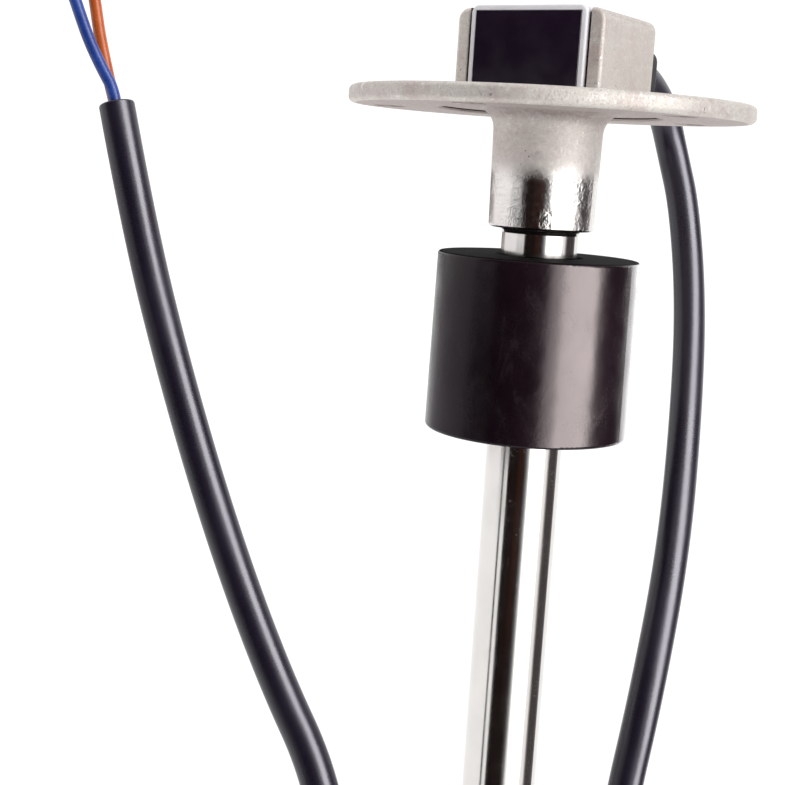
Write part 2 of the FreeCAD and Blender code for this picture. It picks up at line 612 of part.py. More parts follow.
reed_y = -(dim("board_thick") / 2) - dim("reed_lift") - dim("reed_rad")
glass, wires, chips = [], [], []
across = Rotation(Vector(1, 0, 0), -90)
for i in range(int(num("reed_count"))):
    mid = -dim("reed_first_z") - dim("reed_pitch") * i
    low = mid - dim("reed_long") / 2
    glass.append(cylinder("reed_glass_%d" % i, dim("reed_rad"), dim("reed_long"), (0.0, reed_y, low)))
    for side in (-1, 1):
        # end wire along the glass axis, then its foot on the board
        base = mid + (dim("reed_long") / 2) * side
        run = cylinder("reed_run_%d_%d" % (i, side + 1), dim("reed_lead_rad"), dim("reed_lead_out"),
                       (0.0, reed_y, base if side > 0 else base - dim("reed_lead_out")))
        foot_z = base + dim("reed_lead_out") * side * 0.8
        foot_leg = cylinder("reed_foot_%d_%d" % (i, side + 1), dim("reed_lead_rad"), dim("reed_lift") + dim("reed_rad"), (0.0, reed_y, foot_z), across)
        both = doc.addObject("Part::Fuse", "reed_lead_%d_%d" % (i, side + 1))
        both.Base, both.Tool = run, foot_leg
        wires.append(both)
    chips.append(box("chip_%d" % i, (dim("chip_wide"), dim("chip_thick"), dim("chip_long")),
                     (dim("chip_x"), -(dim("board_thick") / 2) - dim("chip_thick"), mid - dim("chip_long") / 2)))
nodes.append(group("reed_glass", glass))
nodes.append(group("reed_leads", wires))
nodes.append(group("chip_resistors", chips))

# --------------------------------------------------------------------- output
doc.recompute()
for obj in doc.Objects:
    if any(word in obj.State for word in ("Invalid", "Error")):
        raise RuntimeError("%s failed: %s" % (obj.Label, obj.State))
for obj in nodes:
    shape = obj.Shape
    if shape.isNull() or not shape.isValid() or not shape.Solids:
        raise RuntimeError("%s has no valid solid" % obj.Label)
    print("%-18s solids %2d volume %10.2f  box %s" % (
        obj.Label, len(shape.Solids), shape.Volume,
        [round(v, 2) for v in (shape.BoundBox.XMin, shape.BoundBox.YMin, shape.BoundBox.ZMin, shape.BoundBox.XMax, shape.BoundBox.YMax, shape.BoundBox.ZMax)]))

os.makedirs("parts", exist_ok=True)
for obj in nodes:
    obj.Shape.exportStep(os.path.join("parts", obj.Label + ".step"))
print("wrote", len(nodes), "parts")
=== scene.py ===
import math

import bmesh
import bpy
from mathutils import Matrix, Vector


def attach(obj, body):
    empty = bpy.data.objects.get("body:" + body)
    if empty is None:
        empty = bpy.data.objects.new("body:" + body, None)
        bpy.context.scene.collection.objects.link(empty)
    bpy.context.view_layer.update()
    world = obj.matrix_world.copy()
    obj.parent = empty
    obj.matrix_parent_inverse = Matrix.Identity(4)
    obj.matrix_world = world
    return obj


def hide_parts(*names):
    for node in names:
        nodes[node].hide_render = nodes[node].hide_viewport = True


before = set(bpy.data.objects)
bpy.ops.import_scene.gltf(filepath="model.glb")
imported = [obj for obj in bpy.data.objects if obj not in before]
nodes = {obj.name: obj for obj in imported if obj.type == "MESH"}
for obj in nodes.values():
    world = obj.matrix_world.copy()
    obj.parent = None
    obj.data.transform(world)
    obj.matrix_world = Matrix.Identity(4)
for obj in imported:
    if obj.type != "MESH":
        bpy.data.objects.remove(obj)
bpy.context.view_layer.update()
scene = bpy.context.scene
MM = 0.001


# ------------------------------------------------------------------ camera
# Focal length in pixels of the 785 x 785 frame, and the eye with its three turns.
FOCAL = 1422.32
EYE = (0.0, -238.73, -8.978)
TURN_Z, TURN_X, TURN_Y = -0.0961, 0.1617, 0.0606
HEAD_TURN = math.radians(-26.23)


def to_row(v):
    c, s = math.cos(HEAD_TURN), math.sin(HEAD_TURN)
    return Vector((v[0] * c + v[1] * s, -v[0] * s + v[1] * c, v[2]))


turn = Matrix.Rotation(TURN_Y, 3, "Y") @ Matrix.Rotation(TURN_X, 3, "X") @ Matrix.Rotation(TURN_Z, 3, "Z")
right, ahead, above = (to_row(turn[i]) for i in range(3))
eye = to_row(EYE) * MM
cam_data = bpy.data.cameras.new("camera")
cam_data.sensor_width = 36.0
cam_data.lens = 36.0 * FOCAL / 785.0
cam_data.clip_start, cam_data.clip_end = 0.01, 60.0
cam = bpy.data.objects.new("camera", cam_data)
cam.matrix_world = Matrix((
    (right.x, above.x, -ahead.x, eye.x),
    (right.y, above.y, -ahead.y, eye.y),
    (right.z, above.z, -ahead.z, eye.z),
    (0, 0, 0, 1)))
scene.collection.objects.link(cam)
scene.camera = cam


# ------------------------------------------------------------ node helpers
class Tree:
    """Short hand for a material's node tree, with the object's own place in millimetres."""

    def __init__(self, name):
        self.mat = bpy.data.materials.new(name)
        self.mat.use_nodes = True
        self.t = self.mat.node_tree
        self.bsdf = self.t.nodes["Principled BSDF"]
        coords = self.t.nodes.new("ShaderNodeTexCoord")
        scale = self.t.nodes.new("ShaderNodeVectorMath")
        scale.operation = "SCALE"
        scale.inputs["Scale"].default_value = 1000.0
        self.t.links.new(coords.outputs["Object"], scale.inputs[0])
        self.mm = scale.outputs[0]
        self.split = None

    def put(self, socket, value):
        if isinstance(value, bpy.types.NodeSocket):
            self.t.links.new(value, socket)
        elif hasattr(socket, "default_value") and isinstance(value, (tuple, list)) and len(value) == 3 and socket.type == "RGBA":
            socket.default_value = (*value, 1.0)
        else:
            socket.default_value = value

    def set(self, **values):
        names = {"color": "Base Color", "metallic": "Metallic", "rough": "Roughness", "normal": "Normal", "ior": "IOR",
                 "level": "Specular IOR Level", "coat": "Coat Weight", "coat_rough": "Coat Roughness", "sheen": "Sheen Weight",
                 "sheen_rough": "Sheen Roughness", "aniso": "Anisotropic", "sss": "Subsurface Weight", "through": "Transmission Weight",
                 "sheen_tint": "Sheen Tint", "tint": "Specular Tint", "glow": "Emission Strength", "glow_color": "Emission Color"}
        for key, value in values.items():
            self.put(self.bsdf.inputs[names[key]], value)
        return self.mat

    def xyz(self):
        if self.split is None:
            self.split = self.t.nodes.new("ShaderNodeSeparateXYZ")
            self.t.links.new(self.mm, self.split.inputs[0])
        return self.split.outputs["X"], self.split.outputs["Y"], self.split.outputs["Z"]

    def math(self, op, a, b=0.0, c=0.0, clamp=False):
        n = self.t.nodes.new("ShaderNodeMath")
        n.operation = op
        n.use_clamp = clamp
        for socket, value in zip(n.inputs, (a, b, c)):
            self.put(socket, value)
        return n.outputs[0]

    def radius(self):
        x, y, _ = self.xyz()
        return self.math("SQRT", self.math("ADD", self.math("MULTIPLY", x, x), self.math("MULTIPLY", y, y)))

    def noise(self, scale, detail=3.0, rough=0.55, stretch=None, distortion=0.0, lac=2.0, vec=None):
        n = self.t.nodes.new("ShaderNodeTexNoise")
        n.inputs["Scale"].default_value = scale
        n.inputs["Detail"].default_value = detail
        n.inputs["Roughness"].default_value = rough
        n.inputs["Lacunarity"].default_value = lac
        n.inputs["Distortion"].default_value = distortion
        self.put(n.inputs["Vector"], self.stretched(stretch, vec))
        return n.outputs[0]

    def stretched(self, stretch, vec=None):
        vec = self.mm if vec is None else vec
        if stretch is None:
            return vec
        m = self.t.nodes.new("ShaderNodeVectorMath")
        m.operation = "MULTIPLY"
        m.inputs[1].default_value = stretch
        self.t.links.new(vec, m.inputs[0])
        return m.outputs[0]

    def cells(self, scale, feature="F1", jitter=1.0, stretch=None):
        n = self.t.nodes.new("ShaderNodeTexVoronoi")
        n.feature = feature
        n.inputs["Scale"].default_value = scale
        n.inputs["Randomness"].default_value = jitter
        self.put(n.inputs["Vector"], self.stretched(stretch))
        return n.outputs["Distance"]

    def span(self, value, lo, hi, out_lo=0.0, out_hi=1.0, smooth=True):
        n = self.t.nodes.new("ShaderNodeMapRange")
        n.interpolation_type = "SMOOTHSTEP" if smooth else "LINEAR"
        n.clamp = True
        self.put(n.inputs["Value"], value)
        for name, v in (("From Min", lo), ("From Max", hi), ("To Min", out_lo), ("To Max", out_hi)):
            self.put(n.inputs[name], v)
        return n.outputs["Result"]

    def mix(self, factor, a, b):
        n = self.t.nodes.new("ShaderNodeMix")
        n.data_type = "RGBA"
        n.clamp_factor = True
        self.put(n.inputs["Factor"], factor)
        self.put(n.inputs[6], a)
        self.put(n.inputs[7], b)
        return n.outputs[2]

    def blend(self, factor, a, b):
        n = self.t.nodes.new("ShaderNodeMix")
        n.data_type = "FLOAT"
        n.clamp_factor = True
        self.put(n.inputs["Factor"], factor)
        self.put(n.inputs[2], a)
        self.put(n.inputs[3], b)
        return n.outputs[0]

    def bump(self, height, depth_mm, strength=1.0, normal=None):
        n = self.t.nodes.new("ShaderNodeBump")
        n.inputs["Distance"].default_value = depth_mm * MM
        self.put(n.inputs["Strength"], strength)
        self.put(n.inputs["Height"], height)
        if normal is not None:
            self.t.links.new(normal, n.inputs["Normal"])
        return n.outputs[0]

    def soft_edges(self, radius_mm):
        """A normal that rounds sharp edges a little."""
        n = self.t.nodes.new("ShaderNodeBevel")
        n.samples = 6
        n.inputs["Radius"].default_value = radius_mm * MM
        return n.outputs[0]


def wear(obj, mat):
    obj.data.materials.clear()
    obj.data.materials.append(mat)


# --------------------------------------------------------------------- cords
CABLE = [
    (0.0, 8.0, 7.65), (0.0, 20.5, 7.65), (0.2, 26.7, 8.4), (0.5, 33.0, 9.4), (0.8, 39.2, 7.7), (1.2, 46.5, 3.1),
    (2.4, 50.2, -5.0), (6.2, 48.5, -14.4), (11.2, 43.4, -32.5), (16.6, 31.7, -52.7), (21.7, 17.6, -73.6),
    (23.9, 5.0, -95.6), (22.7, 0.4, -115.1), (24.7, -8.3, -134.3), (18.5, -24.9, -143.1), (7.1, -40.1, -137.6),
    (-3.5, -45.2, -120.8), (-10.4, -40.1, -105.2), (-22.6, -38.6, -90.2), (-34.3, -38.3, -69.3), (-44.5, -38.8, -45.5),
    (-53.2, -39.0, -22.1), (-59.37, -38.41, -2.61),
]
BLUE = [
    (-58.83, -39.30, -2.37), (-59.54, -39.24, -0.19), (-60.86, -39.72, 2.03), (-62.26, -40.20, 4.54), (-63.67, -40.61, 7.25),
    (-65.06, -40.88, 10.28), (-66.68, -41.13, 13.97), (-68.82, -41.50, 18.55), (-71.45, -41.95, 24.03), (-74.03, -42.30, 29.52),
    (-76.45, -42.48, 34.85),
]
ORANGE = [
    (-60.24, -37.80, -2.80), (-61.22, -37.83, -0.14), (-62.22, -37.83, 2.69), (-63.37, -37.77, 6.00), (-64.45, -37.67, 9.33),
    (-65.53, -37.44, 13.18), (-67.05, -37.29, 18.46), (-68.77, -37.30, 24.21), (-70.54, -37.48, 29.96), (-72.19, -37.82, 35.32),
]


def run_of(points):
    """Points along a route's smooth line, read from the curve itself, with no bevel."""
    data = bpy.data.curves.new("line", "CURVE")
    data.dimensions = "3D"
    spline = data.splines.new("NURBS")
    spline.points.add(len(points) - 1)
    for p, co in zip(spline.points, points):
        p.co = (*(c * MM for c in co), 1.0)
    spline.order_u = 3
    spline.use_endpoint_u = True
    spline.resolution_u = 14
    obj = bpy.data.objects.new("line", data)
    mesh = bpy.data.meshes.new_from_object(obj)
    line = [v.co.copy() for v in mesh.vertices]
    bpy.data.objects.remove(obj)
    bpy.data.curves.remove(data)
    bpy.data.meshes.remove(mesh)
    return line


def tube(name, line, radius, sides, tuck=0.0, mouth=()):
    """A round tube along the line. tuck runs its start back into what it comes out of;
    mouth is the turned shape of its far end, as (radius, distance past the end) in millimetres."""
    along = [(b - a).normalized() for a, b in zip(line, line[1:])]
    slopes = [along[0]] + [(a + b).normalized() for a, b in zip(along, along[1:])] + [along[-1]]
    rings = [(p, t, radius) for p, t in zip(line, slopes)]
    if tuck:
        rings.insert(0, (line[0] - slopes[0] * tuck, slopes[0], radius))
    if mouth:
        last, way = line[-1], slopes[-1]
        rings = [r for r in rings if (r[0] - last).dot(way) < mouth[0][1] * MM - 1e-6 or (r[0] - last).length > 0.004]
        rings += [(last + way * (off * MM), way, r * MM) for r, off in mouth]
    bm = bmesh.new()
    side = rings[0][1].orthogonal().normalized()
    loops = []
    for place, way, r in rings:
        # carry the side along without twisting it
        side = (side - way * side.dot(way)).normalized()
        other = way.cross(side)
        loops.append([bm.verts.new(place + (side * math.cos(a) + other * math.sin(a)) * r) for a in (2 * math.pi * j / sides for j in range(sides))])
    for a, b in zip(loops, loops[1:]):
        for j in range(sides):
            bm.faces.new((a[j], a[(j + 1) % sides], b[(j + 1) % sides], b[j]))
    bm.faces.new(list(reversed(loops[0])))
    bm.faces.new(loops[-1])
    bmesh.ops.recalc_face_normals(bm, faces=bm.faces)
    mesh = bpy.data.meshes.new(name)
    bm.to_mesh(mesh)
    bm.free()
    for p in mesh.polygons:
        p.use_smooth = len(p.vertices) == 4
    obj = bpy.data.objects.new(name, mesh)
    scene.collection.objects.link(obj)
    return obj


cable_line, blue_line, orange_line = run_of(CABLE), run_of(BLUE), run_of(ORANGE)
# the jacket's cut end: a slightly rolled edge, the wall's thickness and the filler set back inside it
cable = tube("lead_jacket", cable_line, 2.9 * MM, 36, mouth=(
    (2.9, -0.42), (2.885, -0.24), (2.83, -0.09), (2.72, -0.015), (2.6, 0.0), (2.3, 0.0), (2.16, -0.03), (2.1, -0.12), (2.08, -0.55)))
blue = tube("core_blue", blue_line, 1.0 * MM, 20, tuck=0.7 * MM, mouth=((1.0, -0.12), (0.97, -0.03), (0.9, 0.0), (0.6, 0.0)))
orange = tube("core_orange", orange_line, 1.0 * MM, 20, tuck=0.7 * MM, mouth=((1.0, -0.12), (0.97, -0.03), (0.9, 0.0), (0.6, 0.0)))


# Stripped ends: seven tinned strands twisted round each other, on the line that each core ends with.
def strands(name, line, length, over):
    end = line[-1]
    along = (line[-1] - line[-4]).normalized()
    side = along.orthogonal().normalized()
    other = along.cross(side)
    bm = bmesh.new()
    thick = over / 6.0
    steps, around = 26, 8
    for k in range(7):
        rings = []
        for i in range(steps + 1):
            t = i / steps
            lay = 2 * math.pi * (k / 6.0 + 1.15 * t)
            off = 0.0 if k == 6 else 2.0 * thick * 0.97
            c = end + along * (length * t) + (side * math.cos(lay) + other * math.sin(lay)) * off
            slope = (along * length + (other * math.cos(lay) - side * math.sin(lay)) * (off * 2 * math.pi * 1.15)).normalized()
            u = slope.orthogonal().normalized()
            w = slope.cross(u)
            # the last stretch of each strand is necked where it was cut
            r = thick * (1.0 if t < 0.97 else 0.8)
            rings.append([bm.verts.new(c + (u * math.cos(a) + w * math.sin(a)) * r) for a in (2 * math.pi * j / around for j in range(around))])
        for a, b in zip(rings, rings[1:]):
            # the frame of a ring may turn against the one before it: join each corner to the nearest
            shift = min(range(around), key=lambda s: (a[0].co - b[s].co).length)
            for j in range(around):
                bm.faces.new((a[j], a[(j + 1) % around], b[(j + 1 + shift) % around], b[(j + shift) % around]))
        bm.faces.new(list(reversed(rings[0])))
        bm.faces.new(rings[-1])
    bmesh.ops.recalc_face_normals(bm, faces=bm.faces)
    mesh = bpy.data.meshes.new(name)
    bm.to_mesh(mesh)
    bm.free()
    for p in mesh.polygons:
        p.use_smooth = len(p.vertices) == 4
    obj = bpy.data.objects.new(name, mesh)
    scene.collection.objects.link(obj)
    return obj


tip_blue = strands("strands_blue", blue_line, 5.9 * MM, 1.1 * MM)
tip_orange = strands("strands_orange", orange_line, 5.9 * MM, 1.1 * MM)

for piece in (cable, blue, orange, tip_blue, tip_orange):
    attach(piece, "sensor_body")
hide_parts("cable")
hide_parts("wire_blue")
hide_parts("wire_orange")
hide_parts("wire_tips")


# ----------------------------------------------------------------- materials
def cast_steel():
    m = Tree("cast_steel")
    x, y, z = m.xyz()
    r = m.radius()
    broad = m.noise(0.10, 3, 0.55)
    blush = m.noise(0.16, 3, 0.6, stretch=(1.0, 1.0, 1.4), distortion=0.4)
    patch = m.noise(0.42, 4, 0.62)
    grain = m.noise(1.25, 4, 0.66)
    fine = m.noise(3.1, 4, 0.66)
    # a few shallow blow holes, ragged
    holes = m.math("ADD", m.cells(0.15), m.math("MULTIPLY", grain, 0.06))
    hole = m.math("MULTIPLY", m.span(holes, 0.052, 0.090, 1.0, 0.0), m.span(patch, 0.60, 0.66))
    # small bright flats and scuffs between the blasted grain, that glint
    flats = m.span(m.noise(0.95, 5, 0.72, distortion=0.9), 0.565, 0.635)
    flats = m.math("MULTIPLY", flats, m.span(m.noise(0.12, 2, 0.5), 0.40, 0.56, 0.30, 1.0))
    # the lower neck is turned and polished; its border to the cast skin is gradual and uneven
    edge = m.math("ADD", z, m.math("ADD", m.math("MULTIPLY", m.noise(0.35, 4, 0.6), 2.2), m.math("MULTIPLY", fine, 0.4)))
    polished = m.span(edge, -10.2, -6.0, 1.0, 0.0)
    tone = m.mix(m.span(broad, 0.33, 0.67), (0.600, 0.548, 0.520), (0.715, 0.688, 0.648))
    tone = m.mix(m.math("MULTIPLY", m.span(blush, 0.47, 0.64), 0.65), tone, (0.575, 0.482, 0.458))
    tone = m.mix(m.math("MULTIPLY", m.span(patch, 0.42, 0.70), 0.55), tone, (0.660, 0.650, 0.585))
    tone = m.mix(m.math("MULTIPLY", m.span(grain, 0.50, 0.68), 0.50), tone, (0.84, 0.815, 0.785))
    tone = m.mix(m.math("MULTIPLY", m.span(fine, 0.51, 0.66), 0.50), tone, (0.40, 0.355, 0.330))
    tone = m.mix(m.math("MULTIPLY", flats, 0.70), tone, (0.93, 0.915, 0.895))
    tone = m.mix(m.math("MULTIPLY", hole, 0.7), tone, (0.20, 0.170, 0.150))
    # the neck below its root is rubbed lighter
    rubbed = m.math("MULTIPLY", m.span(z, -3.2, -1.4, 1.0, 0.0), m.span(grain, 0.30, 0.60, 0.24, 0.52))
    tone = m.mix(rubbed, tone, (0.90, 0.865, 0.835))
    # painted light: the head's right side face and the front of its left cheek are lightened
    painted_lit_cheek = m.math("MULTIPLY", m.span(x, -11.0, -10.7, 1.0, 0.0), m.math("MULTIPLY", m.span(z, 2.9, 3.4), m.span(y, -8.6, -8.2, 1.0, 0.0)))
    side = m.math("MULTIPLY", m.span(x, 12.6, 12.8), m.span(z, 3.2, 4.0))
    tone = m.mix(m.math("MULTIPLY", side, 0.28), tone, (0.90, 0.865, 0.82))
    tone = m.mix(m.math("MULTIPLY", painted_lit_cheek, m.span(grain, 0.34, 0.62, 0.45, 0.75)), tone, (0.92, 0.885, 0.835))
    # the whole blasted skin is faintly warm
    tone = m.mix(0.08, tone, (0.600, 0.420, 0.385))
    # painted shade: the seat, the recess and the root of the neck are darker and greyer
    painted_under_shade = m.math("MULTIPLY", m.span(z, -2.0, -0.4), m.span(z, 0.50, 0.66, 1.0, 0.0))
    painted_under_shade = m.math("MULTIPLY", painted_under_shade, m.span(r, 31.4, 32.2, 1.0, 0.0))
    tone = m.mix(m.math("MULTIPLY", painted_under_shade, 0.80), tone, m.mix(m.span(grain, 0.40, 0.62), (0.315, 0.255, 0.242), (0.428, 0.372, 0.352)))
    tone = m.mix(polished, tone, (0.800, 0.772, 0.748))
    # painted light: the lower part of the recess wall is lightened against its shade
    wall = m.math("MULTIPLY", m.math("MULTIPLY", m.span(r, 18.1, 18.3), m.span(r, 18.7, 18.9, 1.0, 0.0)), m.math("MULTIPLY", m.span(z, 0.01, 0.04), m.span(z, 0.36, 0.44, 1.0, 0.0)))
    tone = m.mix(m.math("MULTIPLY", wall, 0.8), tone, (0.80, 0.755, 0.725))
    # painted shade: dark in the corner of the recess and in the narrow gap beside the cover
    corner = m.math("MULTIPLY", m.span(r, 17.95, 18.2), m.span(z, 0.50, 0.56, 1.0, 0.0))
    corner = m.math("MULTIPLY", corner, m.math("MULTIPLY", m.span(m.math("ADD", z, m.math("MULTIPLY", fine, 0.12)), 0.35, 0.43), m.span(r, 18.46, 18.5, 1.0, 0.0)))
    ax = m.math("ABSOLUTE", x)
    gap_shade = m.math("MULTIPLY", m.span(ax, 10.655, 10.70, 1.0, 0.0), m.math("MULTIPLY", m.span(ax, 10.5, 10.6), m.span(z, 2.81, 2.86)))
    gap_shade = m.math("MULTIPLY", gap_shade, m.span(m.math("ADD", y, m.math("MULTIPLY", grain, 0.5)), -9.35, -9.05))
    painted_shade = m.math("MAXIMUM", corner, gap_shade)
    tone = m.mix(painted_shade, tone, (0.022, 0.015, 0.011))
    rough = m.span(m.math("ADD", m.math("MULTIPLY", grain, 0.6), m.math("MULTIPLY", fine, 0.4)), 0.3, 0.7, 0.54, 0.70)
    rough = m.blend(m.math("MULTIPLY", flats, 0.9), rough, 0.22)
    rough = m.blend(polished, rough, m.span(m.math("ADD", m.math("MULTIPLY", grain, 0.5), m.math("MULTIPLY", fine, 0.5)), 0.38, 0.66, 0.11, 0.23))
    rough = m.blend(painted_shade, rough, 0.8)
    keep = m.math("SUBTRACT", 1.0, m.math("MULTIPLY", polished, 0.66))
    n0 = m.soft_edges(0.2)
    n1 = m.bump(m.math("ADD", m.math("MULTIPLY", grain, 0.62), m.math("MULTIPLY", fine, 0.38)), 0.15, strength=keep, normal=n0)
    n2 = m.bump(hole, -0.06, strength=keep, normal=n1)
    # the casting's unevenness was only polished over, more in some places than in others
    uneven = m.math("MULTIPLY", polished, m.span(m.noise(0.17, 2, 0.5), 0.42, 0.58, 0.10, 0.60))
    n2 = m.bump(m.noise(1.05, 3, 0.6), 0.30, strength=uneven, normal=n2)
    # the blasted skin scatters more than a bare metal face
    bare = m.blend(m.math("MAXIMUM", polished, m.math("MULTIPLY", flats, 0.8)), 0.62, 1.0)
    return m.set(color=tone, metallic=m.math("MULTIPLY", bare, m.math("SUBTRACT", 1.0, painted_shade)), rough=rough, normal=n2)


def polished_steel(name="polished_steel", lo=0.105, hi=0.165, tone=(0.745, 0.722, 0.700)):
    m = Tree(name)
    draw = m.noise(2.2, 3, 0.6, stretch=(1.0, 1.0, 0.018))
    lap = m.noise(3.0, 2, 0.5, stretch=(0.25, 0.25, 5.0))
    haze = m.noise(0.16, 3, 0.5)
    grit = m.noise(5.5, 3, 0.65)
    dust = m.math("MULTIPLY", m.span(m.noise(3.0, 4, 0.72), 0.585, 0.70), m.span(haze, 0.38, 0.62, 0.35, 1.0))
    colour = m.mix(m.span(haze, 0.3, 0.7), tone, tuple(c * 0.95 for c in tone))
    rough = m.span(m.math("ADD", m.math("MULTIPLY", draw, 0.5), m.math("MULTIPLY", haze, 0.5)), 0.35, 0.65, lo, hi)
    rough = m.blend(m.math("MULTIPLY", dust, 0.6), rough, 0.40)
    n = m.bump(m.math("ADD", m.math("MULTIPLY", draw, 0.6), m.math("ADD", m.math("MULTIPLY", lap, 0.25), m.math("MULTIPLY", grit, 0.5))), 0.0034)
    return m.set(color=colour, metallic=m.math("SUBTRACT", 1.0, m.math("MULTIPLY", dust, 0.06)), rough=rough, normal=n)


def spring_steel():
    m = Tree("spring_steel")
    grain = m.noise(4.0, 3, 0.6)
    colour = m.mix(m.span(grain, 0.35, 0.65), (0.36, 0.355, 0.36), (0.47, 0.465, 0.46))
    return m.set(color=colour, metallic=1.0, rough=m.span(grain, 0.3, 0.7, 0.26, 0.40), normal=m.bump(grain, 0.01))


def float_foam():
    m = Tree("float_foam")
    cloud = m.noise(0.09, 3, 0.55, stretch=(1.0, 1.0, 0.6))
    skin = m.noise(2.6, 4, 0.65)
    pore = m.span(m.cells(3.0), 0.08, 0.20, 1.0, 0.0)
    rub = m.noise(0.22, 4, 0.62, stretch=(1.0, 1.0, 0.5), distortion=0.8)
    streak = m.noise(1.6, 3, 0.6, stretch=(0.35, 0.35, 1.6))
    swell = m.noise(0.075, 2, 0.5)
    colour = m.mix(m.span(cloud, 0.3, 0.7), (0.0017, 0.0007, 0.0014), (0.0028, 0.0013, 0.0024))
    colour = m.mix(m.math("MULTIPLY", m.span(rub, 0.58, 0.78), 0.30), colour, (0.016, 0.012, 0.014))
    colour = m.mix(m.math("MULTIPLY", m.span(streak, 0.62, 0.78), 0.16), colour, (0.015, 0.011, 0.013))
    rough = m.span(m.math("ADD", m.math("MULTIPLY", skin, 0.35), m.math("MULTIPLY", rub, 0.65)), 0.34, 0.66, 0.17, 0.29)
    n1 = m.bump(m.math("ADD", swell, m.math("MULTIPLY", rub, 0.12)), 0.22)
    n2 = m.bump(skin, 0.012, normal=n1)
    n3 = m.bump(pore, -0.010, strength=0.5, normal=n2)
    # the end faces are matt where they were trimmed
    z = m.xyz()[2]
    ends = m.math("MAXIMUM", m.span(z, -23.42, -23.30), m.span(z, -52.62, -52.50, 1.0, 0.0))
    ends = m.math("MAXIMUM", ends, m.span(m.radius(), 7.7, 8.0, 1.0, 0.0))
    rough = m.blend(ends, rough, 0.7)
    level = m.blend(ends, 0.27, 0.018)
    # painted shade: the end faces and the edge of the bore are also darker in colour
    colour = m.mix(ends, colour, m.mix(m.span(skin, 0.35, 0.65), (0.0011, 0.0008, 0.0010), (0.0020, 0.0015, 0.0018)))
    return m.set(color=colour, rough=rough, normal=n3, ior=1.5, level=level, tint=(1.0, 0.88, 0.94))


def pale_plastic():
    m = Tree("pale_plastic")
    x, y, z = m.xyz()
    cloud = m.noise(0.2, 2, 0.5)
    skin = m.noise(7.0, 3, 0.6)
    colour = m.mix(m.span(cloud, 0.3, 0.7), (0.790, 0.780, 0.815), (0.835, 0.825, 0.855))
    # painted shade in the narrow gap beside the cover
    gap_shade = m.math("MULTIPLY", m.span(m.math("ABSOLUTE", x), 10.06, 10.11), m.span(m.math("ADD", y, m.math("MULTIPLY", skin, 0.3)), -9.05, -8.80))
    gap_shade = m.math("MULTIPLY", gap_shade, m.span(z, 15.3, 15.9, 1.0, 0.0))
    colour = m.mix(gap_shade, colour, (0.020, 0.012, 0.009))
    return m.set(color=colour, rough=m.span(skin, 0.3, 0.7, 0.34, 0.46), normal=m.bump(skin, 0.006, normal=m.soft_edges(0.12)))


def black_panel():
    m = Tree("black_panel")
    cloud = m.noise(0.25, 3, 0.5)
    skin = m.noise(9.0, 2, 0.5)
    specks = m.math("MULTIPLY", m.span(m.cells(0.30), 0.02, 0.045, 1.0, 0.0), m.span(cloud, 0.50, 0.58))
    colour = m.mix(m.span(cloud, 0.3, 0.7), (0.0102, 0.0053, 0.0136), (0.0120, 0.0064, 0.0158))
    colour = m.mix(m.math("MULTIPLY", specks, 0.35), colour, (0.05, 0.045, 0.055))
    return m.set(color=colour, rough=m.span(m.math("ADD", cloud, m.math("MULTIPLY", skin, 0.3)), 0.4, 0.9, 0.10, 0.17), normal=m.bump(skin, 0.0012))


def jacket():
    m = Tree("cable_jacket")
    cloud = m.noise(0.07, 3, 0.55)
    skin = m.noise(3.0, 3, 0.6)
    orange_peel = m.noise(0.8, 2, 0.5)
    colour = m.mix(m.span(cloud, 0.3, 0.7), (0.0046, 0.0032, 0.0078), (0.0066, 0.0050, 0.0104))
    rough = m.span(m.math("ADD", m.math("MULTIPLY", skin, 0.5), m.math("MULTIPLY", cloud, 0.5)), 0.3, 0.7, 0.26, 0.35)
    n1 = m.bump(orange_peel, 0.014)
    n2 = m.bump(skin, 0.005, normal=n1)
    return m.set(color=colour, rough=rough, normal=n2, ior=1.5, level=0.6, tint=(0.95, 0.92, 1.0))


def insulation(name, dark, light):
    m = Tree(name)
    cloud = m.noise(0.35, 3, 0.55)
    skin = m.noise(4.0, 2, 0.5)
    colour = m.mix(m.span(cloud, 0.3, 0.7), dark, light)
    return m.set(color=colour, rough=m.span(skin, 0.3, 0.7, 0.26, 0.36), normal=m.bump(skin, 0.006), level=0.6)


def tinned(name="tinned_copper"):
    m = Tree(name)
    patch = m.noise(2.2, 3, 0.6)
    colour = m.mix(m.span(patch, 0.62, 0.80), (0.70, 0.69, 0.67), (0.72, 0.47, 0.30))
    return m.set(color=colour, metallic=1.0, rough=m.span(patch, 0.3, 0.7, 0.22, 0.36), normal=m.bump(patch, 0.01))


def rubber(name="grommet_rubber"):
    m = Tree(name)
    skin = m.noise(3.5, 4, 0.65)
    cloud = m.noise(0.4, 2, 0.5)
    colour = m.mix(m.span(cloud, 0.3, 0.7), (0.0052, 0.0045, 0.0052), (0.0085, 0.0076, 0.0084))
    return m.set(color=colour, rough=m.span(skin, 0.3, 0.7, 0.44, 0.58), normal=m.bump(skin, 0.02), level=0.25)


def moulded(name, dark, light, lo=0.4, hi=0.55, metallic=0.0):
    m = Tree(name)
    cloud = m.noise(0.5, 3, 0.55)
    skin = m.noise(5.0, 3, 0.6)
    colour = m.mix(m.span(cloud, 0.3, 0.7), dark, light)
    return m.set(color=colour, metallic=metallic, rough=m.span(skin, 0.3, 0.7, lo, hi), normal=m.bump(skin, 0.01))


def reed_tube():
    m = Tree("reed_tube_glass")
    wave = m.noise(1.0, 2, 0.5)
    return m.set(color=(0.80, 0.90, 0.86), rough=m.span(wave, 0.3, 0.7, 0.03, 0.08), normal=m.bump(wave, 0.004), through=0.9, ior=1.5)


